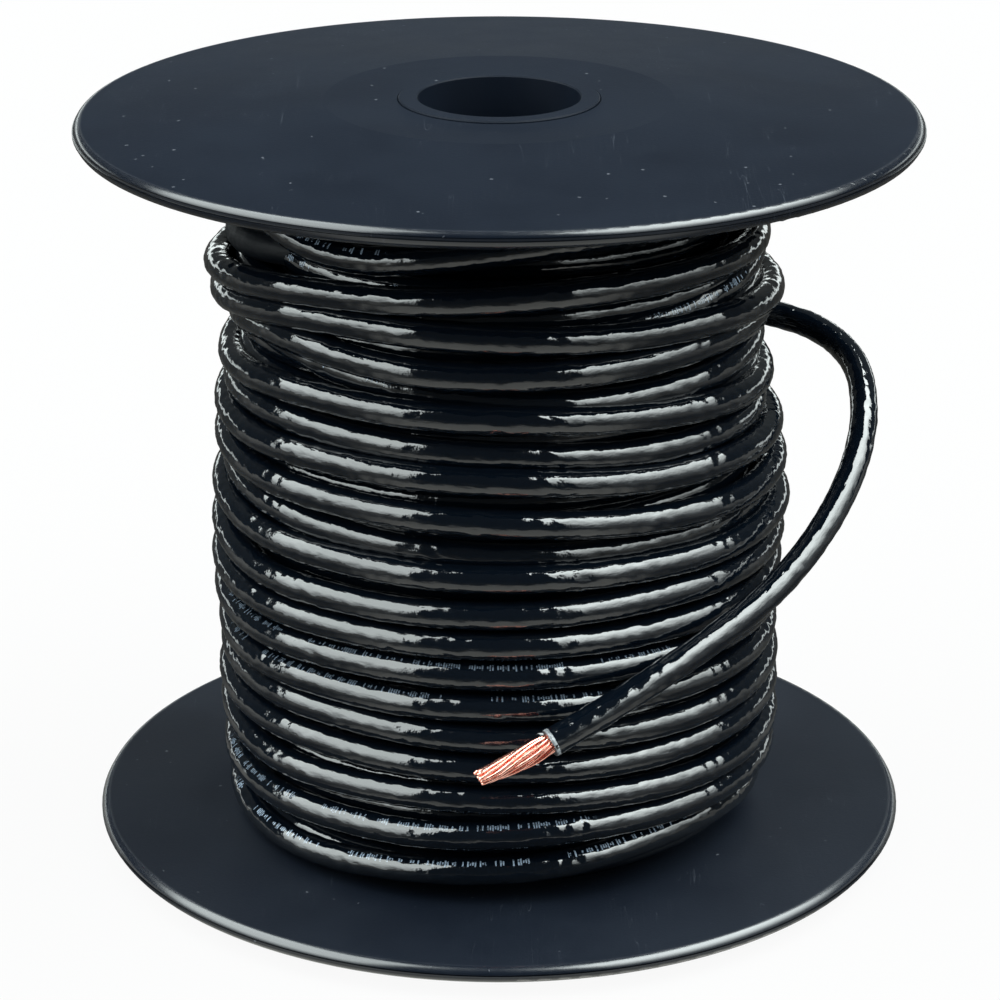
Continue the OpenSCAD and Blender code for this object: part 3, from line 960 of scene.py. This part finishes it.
def cut_ring(name, section, look, seed):
    """A slightly uneven ring turned about the wire from a closed section."""
    rng = np.random.default_rng(seed)
    sides = 48
    around = np.linspace(0, 2 * np.pi, sides, endpoint=False)
    wobble = sum(rng.uniform(-1, 1) * np.sin(k * around + rng.uniform(0, 6))
                 for k in (2, 3, 5, 9))
    rows = []
    for radius, y in section:
        uneven = radius + 0.015 * wobble
        out = y + 0.05 * wobble * (y > 0)        # only the part past the cut is ragged
        rows.append(np.stack([uneven * np.cos(around), out, uneven * np.sin(around)], 1))
    index = np.arange(len(section) * sides).reshape(-1, sides)
    ob = make_mesh(name, from_cut(np.vstack(rows)), skin(index, np.roll(index, -1, 0)))
    paint(ob, look)
    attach(ob, "tail_4")


def strand(number, circle, first_angle, length, seed):
    rng = np.random.default_rng(seed)
    sides, count = 14, 44
    y = -STRAND_HIDDEN + (length + STRAND_HIDDEN) * np.linspace(0, 1, count)
    share = np.clip(y / length, 0, 1)
    radius = (circle * np.interp(share, SWELL_AT, SWELL)
              * (1 + 0.05 * np.sin(6.2 * share + rng.uniform(0, 6))))
    radius = gauss(radius, 1.5)
    angle = (first_angle + 2 * np.pi * y / LAY_LENGTH
             + 0.10 * np.sin(6.9 * share + rng.uniform(0, 6)))
    waver = 0.05 * share * np.sin(5 * share + rng.uniform(0, 6))
    path = np.stack([radius * np.cos(angle) + waver, y,
                     radius * np.sin(angle) + waver * 0.5], 1)
    path += (share ** 2)[:, None] * BEND_UP * LIFT[None, :]
    tangent = unit(np.gradient(path, axis=0))
    side = unit(np.cross(tangent, [0.0, 0.0, 1.0]))
    other = np.cross(tangent, side)
    around = np.linspace(0, 2 * np.pi, sides, endpoint=False)
    thickness = STRAND_R * np.ones(count)
    thickness[-1] *= 0.80                        # the tip is eased
    wall = path[:, None, :] + thickness[:, None, None] * (
        np.cos(around)[None, :, None] * side[:, None, :]
        + np.sin(around)[None, :, None] * other[:, None, :])
    points = from_cut(wall.reshape(-1, 3))
    index = np.arange(count * sides).reshape(count, sides)
    quads = skin(index[:-1], index[1:])[:, [0, 3, 2, 1]]
    root = len(points)
    tip = root + 1
    points = np.vstack([points, points[:sides].mean(0),
                        points[-sides:].mean(0) + CUT[:3, 1] * 0.05])
    tris = [[root, index[0][j], index[0][(j + 1) % sides]] for j in range(sides)]
    tris += [[tip, index[-1][(j + 1) % sides], index[-1][j]] for j in range(sides)]
    ob = make_mesh("strand_%02d" % number, points, quads, tris)
    paint(ob, COPPER)
    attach(ob, "tail_4")
    return ob


cut_ring("jacket_lip", LIP, EDGE, seed=3)
cut_ring("insulation_face", FACE, PVC, seed=4)

trim = np.random.default_rng(5)      # uneven strand lengths
strands = [strand(0, 0.0, 0.0, STRAND_LENGTH, 100)]
for k in range(6):
    length = STRAND_LENGTH + trim.uniform(-0.4, 0.3)
    strands.append(strand(1 + k, INNER_CIRCLE, k * math.pi / 3, length, 101 + k))
for k in range(12):
    length = STRAND_LENGTH + trim.uniform(-0.7, 0.35)
    strands.append(strand(7 + k, OUTER_CIRCLE, k * math.pi / 6 + 0.2, length, 120 + k))
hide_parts("strand_centre")
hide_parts("strands_inner")
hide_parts("strands_outer")


# ---------------------------------------------------------------- floor, light, camera

def degrees_span(first, last):
    return math.radians(first), math.radians(last)


def build_floor():
    """White to the camera, grey to diffuse light, and a set of glows in reflections."""
    half, z = 4000, -0.05
    corners = [(-half, -half, z), (half, -half, z), (half, half, z), (-half, half, z)]
    floor = make_mesh("floor", corners, [[0, 1, 2, 3]], smooth=False)
    net = material("floor_pale")
    x, y, _ = net.xyz(net.geometry("Position"))
    # angle of the floor point off the front
    side = net.math("ARCTAN2", net.math("ABSOLUTE", x), net.mul(y, -1.0))
    rise = net.math("ABSOLUTE", net.xyz(net.geometry("Incoming"))[2])    # steepness of the ray
    front = net.mul(net.ramp(side, span=degrees_span(30, 64), to=(1.0, 0.07)),
                    net.ramp(rise, span=(0.22, 0.58)))
    right_glow, left_extra = 0.55, 0.20
    level = net.add(right_glow, net.mul(net.below(x, 0.0), left_extra))
    grazing = net.mul(net.ramp(rise, span=(0.0, 0.50), to=(1.0, 0.0)), level,
                      net.ramp(side, span=degrees_span(25, 45), to=(0.1, 1.0)),
                      net.ramp(side, span=degrees_span(110, 130), to=(1.0, 0.1)))
    front_glow, least_glow = 1.15, 0.05
    strength = net.add(net.mul(front, front_glow), least_glow, grazing)

    diffuse = net.node("BsdfDiffuse")
    diffuse.inputs["Color"].default_value = (0.30, 0.30, 0.30, 1)
    seen = net.light("Emission", color=(1, 1, 1, 1), strength=0.97)
    shine = net.light("Emission", color=(0.98, 1.0, 0.93, 1), strength=strength)
    rays = net.node("LightPath").outputs
    unseen = net.mix_shader(rays["Is Glossy Ray"], diffuse.outputs[0], shine)
    camera_share = 0.96                  # the rest shows shadows
    net.surface(net.mix_shader(net.mul(rays["Is Camera Ray"], camera_share), unseen, seen))
    floor.data.materials.append(net.owner)


def build_world():
    """Two large panels, one at each side, lean over the spool, with a low strip behind."""
    world = bpy.data.worlds.new("studio")
    bpy.context.scene.world = world
    net = NodeTree(world, "OutputWorld")
    x, y, z = net.xyz(net.coord("Generated"))
    off_front = net.math("ARCTAN2", net.math("ABSOLUTE", x), net.mul(y, -1.0))
    elevation = net.math("ARCSINE", z)

    def edge(value, at, soft, up=True):
        return net.ramp(value, span=(at - soft, at + soft), to=(0.0, 1.0) if up else (1.0, 0.0))

    sideways = net.math("ABSOLUTE", x)
    right = net.above(x, 0.0)

    # outline: near edge at each side, edge overhead, edge at the back
    near_edge = edge(net.add(off_front, net.mul(right, math.radians(6.0))),
                     at=math.radians(35), soft=0.035)
    lean, right_lean_less = 0.23, 0.03
    over = net.sub(sideways, net.mul(z, net.sub(lean, net.mul(right, right_lean_less))))
    over = edge(over, at=0.0, soft=0.012)
    # the back edge is the farther of two slanted lines: factors on x and z
    low_x, low_z, high_x, high_z = 0.105, 0.43, 0.13, 0.84
    reach = net.math("MAXIMUM", net.add(net.mul(sideways, low_x), net.mul(z, low_z)),
                     net.sub(net.mul(z, high_z), net.mul(sideways, high_x)))
    behind = edge(net.sub(y, reach), at=0.0, soft=0.02, up=False)
    shape = net.mul(net.mul(near_edge, over),
                    net.mul(behind, edge(elevation, at=0.0, soft=0.03)))

    # both panels brighten upwards
    right_least, right_gain, right_power = 0.8, 15.5, 1.3
    climb = net.ramp(elevation, span=degrees_span(8, 55), kind="LINEAR")
    right_level = net.add(right_least,
                          net.mul(net.math("POWER", climb, right_power), right_gain))
    left_level = net.ramp(elevation, span=degrees_span(-5, 34), to=(1.9, 9.4))
    panels = net.mul(shape, net.add(net.mul(right, right_level),
                                    net.mul(net.sub(1.0, right), left_level)))

    strip_width_gain, strip_level = 1.0, 2.6
    strip = net.mul(edge(off_front, at=math.radians(124), soft=0.05), strip_width_gain)
    strip = net.mul(strip, net.mul(edge(elevation, at=math.radians(-1), soft=0.01),
                                   edge(elevation, at=math.radians(4.5), soft=0.02, up=False)))
    ambient, back_level = 0.06, 0.05
    back = net.mul(net.ramp(off_front, span=degrees_span(110, 150)),
                   net.ramp(elevation, span=degrees_span(0, 14)))
    fill = net.add(ambient, net.mul(back, back_level), net.mul(strip, strip_level))

    studio = net.light("Background", color=(0.92, 1.0, 0.99, 1), strength=net.add(panels, fill))
    white = net.light("Background", color=(1, 1, 1, 1), strength=1.0)
    is_camera = net.node("LightPath").outputs["Is Camera Ray"]
    net.surface(net.mix_shader(is_camera, studio, white))


def build_camera():
    """In front of the spool, looking down at it; places in metres."""
    lens = bpy.data.cameras.new("camera")
    camera = bpy.data.objects.new("camera", lens)
    scene = bpy.context.scene
    scene.collection.objects.link(camera)
    camera.location = (0.0, -0.6554, 0.3205)
    camera.rotation_euler = (math.radians(68.964), 0.0, 0.0)
    lens.sensor_width = 36.0
    lens.lens = 124.83
    lens.shift_x = 0.0008
    lens.clip_start, lens.clip_end = 0.05, 50.0
    scene.camera = camera
    scene.view_settings.view_transform = "Standard"
    scene.view_settings.look = "None"


build_floor()
build_world()
build_camera()
